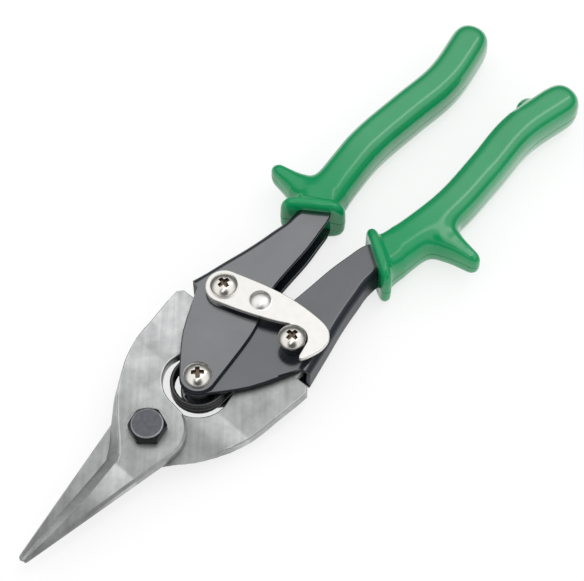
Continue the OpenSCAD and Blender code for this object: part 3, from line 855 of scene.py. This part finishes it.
# %% Smoothing by weight
FADE = 5 * MM
FILLET_FROM = 2.6 * MM
TIP_FADE = 8 * MM
TIP_LEAST = 0.06
LIGHT_ROUNDS = 24
CROWN_ROUNDS = 300
FILLET_ROUNDS = 120


def weigh(grip, name, tips, weight_at):
    """A vertex group whose weights fade toward the tips."""
    group = grip.vertex_groups.new(name=name)
    for vert in grip.data.vertices:
        weight = min(weight_at(vert.co), 1)
        for tip, firm in tips:
            weight *= min(max(((vert.co - tip).length - firm) / TIP_FADE, TIP_LEAST), 1)
        if weight > 0:
            group.add([vert.index], weight, "REPLACE")


def smooth(grip, rounds, group=""):
    apply_modifier(grip, "SMOOTH", factor=0.5, iterations=rounds, vertex_group=group)


# %% Grips
SPUR_FIRM = 5 * MM
NUB = Vector((179.4, -9.2, 9.5)) * MM
NUB_FIRM = 2.5 * MM
SKIN_OUT = 0.85 * MM
PARTING_W = 0.32 * MM
PARTING_DEPTH = 0.25 * MM
grips = {"left_grip": (1, 30 * MM, []), "right_grip": (-1, 50 * MM, [(NUB, NUB_FIRM)])}
for node, (side, fillet_to, nubs) in grips.items():
    grip = solid_copy(node, node + "_moulding")
    widen_collar(grip, side)
    core = make_core(node, side)
    make_active(grip)
    core.select_set(True)
    bpy.ops.object.join()
    apply_modifier(grip, "REMESH", mode="VOXEL", voxel_size=GRIP_VOXEL, use_smooth_shade=True)
    smooth(grip, LIGHT_ROUNDS)
    middle, inward = collar_frame(side)
    spur_tip = max((v.co for v in grip.data.vertices), key=lambda co: co.y * side).copy()
    tips = [(spur_tip, SPUR_FIRM)] + nubs
    weigh(grip, "back", tips, lambda co: ((co - middle).dot(inward) - FILLET_FROM) / FADE)
    weigh(grip, "fillets", tips, lambda co: min(((co - middle).dot(inward) - FILLET_FROM) / FADE,
                                                (fillet_to - (co - middle).dot(inward)) / FADE))
    smooth(grip, CROWN_ROUNDS, "back")
    smooth(grip, FILLET_ROUNDS, "fillets")
    apply_modifier(grip, "DISPLACE", strength=SKIN_OUT, mid_level=0, vertex_group="back")
    start_edit(grip, "VERT")
    for level in (-PARTING_W, PARTING_W, 0):
        bpy.ops.mesh.select_all(action="SELECT")
        bpy.ops.mesh.bisect(plane_co=(0, 0, COLLAR.z + level), plane_no=(0, 0, 1), threshold=MERGE)
    seam = pick(grip, "verts", lambda v: abs(v.co.z - COLLAR.z) < 2 * MERGE)
    bpy.ops.transform.shrink_fatten(value=-PARTING_DEPTH)
    end_edit()
    print(node, "seam points", seam)
    grip.data.materials.append(green_vinyl)
    hand_over(grip, node, angle=30, weighted=False)

# %% [markdown]
# ## Latch
# The latch is a nickel plated stamping. Its outline is right in the solid, so a copy is shaped and nothing
# is drawn anew. The punch rounds its upper edge, and a dimple pressed up from below gives the thumb a hold.
# The dimple's foot is a soft fillet, so the dome is drawn wider before the edges are rounded.

# %% Latch
DIMPLE_H = 1.3 * MM
DIMPLE_WIDER = 1.14
DIMPLE_FOOT = 0.5 * MM
PUNCHED = 0.4 * MM
latch = solid_copy("latch", "latch_stamping")
latch_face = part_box("latch")[1].z - DIMPLE_H
dome = [v.co for v in latch.data.vertices if v.co.z > latch_face + 2 * MERGE]
dome_middle = sum(dome, Vector()) / len(dome)
dome_reach = max((co - dome_middle).xy.length for co in dome) + DIMPLE_FOOT
start_edit(latch, "VERT")
dome_points = pick(latch, "verts", lambda v: v.co.z > latch_face - 2 * MERGE
                   and (v.co - dome_middle).xy.length < dome_reach)
bpy.ops.transform.resize(value=(DIMPLE_WIDER, DIMPLE_WIDER, 1), center_override=dome_middle)
end_edit()
print("dimple points", dome_points)
round_edges(latch, PUNCHED, segments=4)
latch.data.materials.append(latch_nickel)
hand_over(latch, "latch")

# %% [markdown]
# ## Screws
# Three equal pan-head screws. A flattened sphere could be the dome, but its faces crowd together at the
# pole, where the recess is cut. So the head starts as a short cylinder whose top is drawn up in rings to a
# low dome, a cap of a sphere. Its underside is inset and extruded into the shank. The cross recess is cut
# by two tapered wings, which bring their own dark brown finish along: painted shade in the recess.

# %% Cross recess
WING = Vector((6.0, 2.0, 1.5)) * MM
WING_TAPER = 0.5


def cut_cross(screw, top, turn):
    wings = []
    for quarter in (0, 90):
        bpy.ops.object.select_all(action="DESELECT")
        bpy.ops.mesh.primitive_cube_add(size=1, location=top)
        wing = bpy.context.object
        wing.scale = (WING.x, WING.y, 2 * WING.z)
        wing.rotation_euler.z = math.radians(turn + quarter)
        bpy.ops.object.transform_apply(location=True, rotation=True, scale=True)
        start_edit(wing)
        pick(wing, "faces", lambda f: f.normal.z < -FLAT_Z)
        bpy.ops.transform.resize(value=(WING_TAPER, WING_TAPER, 1))
        end_edit()
        wing.data.materials.append(recess_shade)
        wings.append(wing)
    for wing in wings:
        apply_modifier(screw, "BOOLEAN", object=wing, operation="DIFFERENCE", solver="EXACT",
                       material_mode="TRANSFER")
        bpy.data.objects.remove(wing)


# %% Screw model
HEAD_H = 2.5 * MM
HEAD_RIM = 0.85 * MM
DOME_RINGS = 9
SHANK_R = 2.5 * MM
SHORT_EDGE = 0.03 * MM
SCREW_ROUND = 0.1 * MM


def make_screw(node, name, turn):
    low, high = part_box(node)
    centre = (low + high) / 2
    head_r = (high.x - low.x) / 2
    under = high.z - HEAD_H
    bpy.ops.object.select_all(action="DESELECT")
    bpy.ops.mesh.primitive_cylinder_add(vertices=ROUND_SIDES, radius=head_r, depth=HEAD_RIM,
                                        location=(centre.x, centre.y, under + HEAD_RIM / 2))
    screw = bpy.context.object
    screw.name = name
    make_active(screw)
    bpy.ops.object.transform_apply(location=True)
    start_edit(screw)
    pick(screw, "faces", lambda f: f.normal.z > FLAT_Z)
    dome_h = HEAD_H - HEAD_RIM
    dome_r = (head_r ** 2 + dome_h ** 2) / (2 * dome_h)
    rim_angle = math.asin(head_r / dome_r)
    reach = head_r
    rise = 0.0
    for ring in range(1, DOME_RINGS + 1):
        angle = rim_angle * (1 - ring / (DOME_RINGS + 1))
        next_rise = dome_r * (math.cos(angle) - math.cos(rim_angle))
        next_reach = dome_r * math.sin(angle)
        bpy.ops.mesh.extrude_region_move(TRANSFORM_OT_translate={"value": (0, 0, next_rise - rise)})
        bpy.ops.transform.resize(value=(next_reach / reach, next_reach / reach, 1))
        reach, rise = next_reach, next_rise
    pick(screw, "faces", lambda f: f.normal.z < -FLAT_Z)
    bpy.ops.mesh.inset(thickness=head_r - SHANK_R)
    bpy.ops.mesh.extrude_region_move(TRANSFORM_OT_translate={"value": (0, 0, low.z - under)})
    end_edit()
    screw.data.materials.append(bright_nickel)
    cut_cross(screw, Vector((centre.x, centre.y, high.z)), turn)
    weld(screw, SHORT_EDGE)
    round_edges(screw, SCREW_ROUND, angle=35)
    return screw


# %% Three screws
screws = {"handle_pivot_screw": 44, "left_link_screw": 81, "catch_screw": 86}
for node, turn in screws.items():
    screw = make_screw(node, node + "_pan_head", turn)
    hand_over(screw, node, angle=40)

# %% [markdown]
# ## Bolt and nuts
# A hexagon on its own looks too sharp, because real heads and nuts are turned round at their faces. A bevel
# would follow the six straight sides, and miss the curved line that turning leaves on each flat. So the
# six-sided prism is cut to what it shares with a bevelled round bar.

# %% Hexagons
NUT_CHAMFER = 0.55 * MM
NUT_ROUND = 0.12 * MM
BAR_OVER = 0.05 * MM
HOLE_CHAMFER = 0.01 * MM


def round_bar(centre, radius, height, chamfer):
    bpy.ops.object.select_all(action="DESELECT")
    bpy.ops.mesh.primitive_cylinder_add(vertices=ROUND_SIDES, radius=radius, depth=height, location=centre)
    bar = bpy.context.object
    bpy.ops.object.transform_apply(location=True)
    round_edges(bar, chamfer, segments=1)
    return bar


def make_nut(node, name, bore_r):
    low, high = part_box(node)
    centre = (low + high) / 2
    size = high - low
    bpy.ops.object.select_all(action="DESELECT")
    bpy.ops.mesh.primitive_cylinder_add(vertices=6, radius=size.y / 2, depth=size.z, location=centre)
    nut = bpy.context.object
    nut.name = name
    bpy.ops.object.transform_apply(location=True)
    bar = round_bar(centre, size.y / 2 + BAR_OVER, size.z, NUT_CHAMFER)
    apply_modifier(nut, "BOOLEAN", object=bar, operation="INTERSECT", solver="EXACT")
    hole = round_bar(centre, bore_r, 2 * size.z, HOLE_CHAMFER)
    apply_modifier(nut, "BOOLEAN", object=hole, operation="DIFFERENCE", solver="EXACT")
    for tool in (bar, hole):
        bpy.data.objects.remove(tool)
    weld(nut, SHORT_EDGE)
    round_edges(nut, NUT_ROUND)
    nut.data.materials.append(black_oxide)
    return nut


# %% Four nuts
BOLT_R = 3.5 * MM
nuts = {"pivot_nut": BOLT_R, "handle_pivot_nut": SHANK_R, "left_link_nut": SHANK_R, "catch_nut": SHANK_R}
for node, bore_r in nuts.items():
    hand_over(make_nut(node, node + "_chamfered", bore_r), node)

# %% [markdown]
# The bolt's head is drawn paler on its top face than on its sides, as painted light, and palest along the
# rim of the chamfer, as a painted highlight. The round bar carries these finishes, and hands them over where
# it cuts.

# %% Bolt
BOLT_CHAMFER = 1.2 * MM
BOLT_EDGE = 0.22 * MM
BOLT_RIM = 0.3 * MM
BAR_LOWER = 20 * MERGE
TOP_Z = 0.99
low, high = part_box("pivot_bolt")
bolt = solid_copy("pivot_bolt", "pivot_bolt_forged")
bolt.data.materials.append(black_oxide)
start_edit(bolt, "EDGE")
corners = pick(bolt, "edges", lambda e: (e.verts[0].co - e.verts[1].co).xy.length < MERGE
               and e.verts[0].co.xy.length > BOLT_R + MM)
bpy.ops.mesh.bevel(offset=BOLT_EDGE, segments=2, affect="EDGES")
end_edit()
bar_middle = (low + high) / 2 - Vector((0, 0, BAR_LOWER))
bar = round_bar(bar_middle, (high.x - low.x) / 2, high.z - low.z, BOLT_CHAMFER)
for finish in (black_oxide, lit_top_oxide, rim_highlight_oxide):
    bar.data.materials.append(finish)
start_edit(bar)
pick(bar, "faces", lambda f: f.normal.z > TOP_Z)
# The top face takes the paler black, painted light.
give_finish(bar, 1)
bpy.ops.mesh.select_mode(type="EDGE")
bpy.ops.mesh.region_to_loop()
# The rim bevel takes the palest black, a painted highlight.
bpy.ops.mesh.bevel(offset=BOLT_RIM, segments=2, affect="EDGES", material=2)
end_edit()
apply_modifier(bolt, "BOOLEAN", object=bar, operation="INTERSECT", solver="EXACT",
               material_mode="TRANSFER")
bpy.data.objects.remove(bar)
print("bolt corners", corners)
hand_over(bolt, "pivot_bolt")

# %% [markdown]
# ## Turned rings
# Bushes, spacers, the washer and the catch collar are plain turned rings. Their solids are right, so each
# copy only has its corners broken. The handle pivot's bush and the catch collar are blackened, and the
# others are plated.

# %% Rings
RING_ROUND = 0.15 * MM
rings = ["pivot_washer", "left_tail_bush", "left_tail_spacers", "right_tail_bush", "right_tail_spacers",
         "latch_bush"]
dark_rings = ["handle_pivot_bush", "catch_collar"]
for node in rings + dark_rings:
    ring = solid_copy(node, node + "_turned")
    round_edges(ring, RING_ROUND)
    dark = node in dark_rings
    ring.data.materials.append(black_oxide if dark else bright_nickel)
    hand_over(ring, node)

# %% [markdown]
# ## Return spring
# Music wire wound two and a half turns around the handle pivot, with a leg in each handle. A curve with a
# round section could follow the same path, with a point for every bend. The screw modifier needs only the
# number of turns, so a circle of the wire's section is screwed round the axis, and its two ends are drawn
# out into the legs.

# %% Spring
spring_low, spring_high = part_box("return_spring")
pivot_low, pivot_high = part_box("handle_pivot_bush")
axis = (pivot_low + pivot_high) / 2
shear_z = (spring_low.z + spring_high.z) / 2
WIRE_R = 0.725 * MM
WIRE_SIDES = 14
COIL_R = 8.5 * MM
COIL_TOP = 2.475 * MM
COIL_STEPS = 90
TURNS = 2.5
LEG_BEND = 42.9 * MM
leg_y = spring_high.y - WIRE_R
leg_rise = spring_high.z - WIRE_R - shear_z - COIL_TOP
first_run = Vector((LEG_BEND - axis.x, leg_y - COIL_R, leg_rise))
second_run = Vector((spring_high.x - LEG_BEND, 0, 0))

bpy.ops.object.select_all(action="DESELECT")
bpy.ops.mesh.primitive_circle_add(vertices=WIRE_SIDES, radius=WIRE_R, rotation=(0, math.pi / 2, 0))
spring = bpy.context.object
spring.name = "return_spring_wire"
bpy.ops.object.transform_apply(location=True, rotation=True)
start_edit(spring, "VERT")
bpy.ops.mesh.select_all(action="SELECT")
bpy.ops.transform.translate(value=(0, COIL_R, COIL_TOP))
end_edit()
apply_modifier(spring, "SCREW", axis="Z", angle=math.radians(360 * TURNS), screw_offset=-2 * COIL_TOP,
               steps=COIL_STEPS, render_steps=COIL_STEPS)
for side in (1, -1):
    start_edit(spring, "VERT")
    pick(spring, "verts", lambda v: v.is_boundary and v.co.y * side > 0)
    bpy.ops.mesh.edge_face_add()
    for run in (first_run, second_run):
        step = Vector((run.x, run.y * side, run.z * side))
        bpy.ops.mesh.extrude_region_move(TRANSFORM_OT_translate={"value": step})
    end_edit()
start_edit(spring, "VERT")
bpy.ops.mesh.select_all(action="SELECT")
bpy.ops.mesh.normals_make_consistent(inside=False)
bpy.ops.transform.translate(value=(axis.x, axis.y, shear_z))
end_edit()
make_active(spring)
bpy.ops.object.shade_smooth_by_angle(angle=math.radians(60))
spring.data.materials.append(spring_black)
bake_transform(spring)
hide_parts("return_spring")
print("spring", [round(x / MM, 2) for x in spring.dimensions])
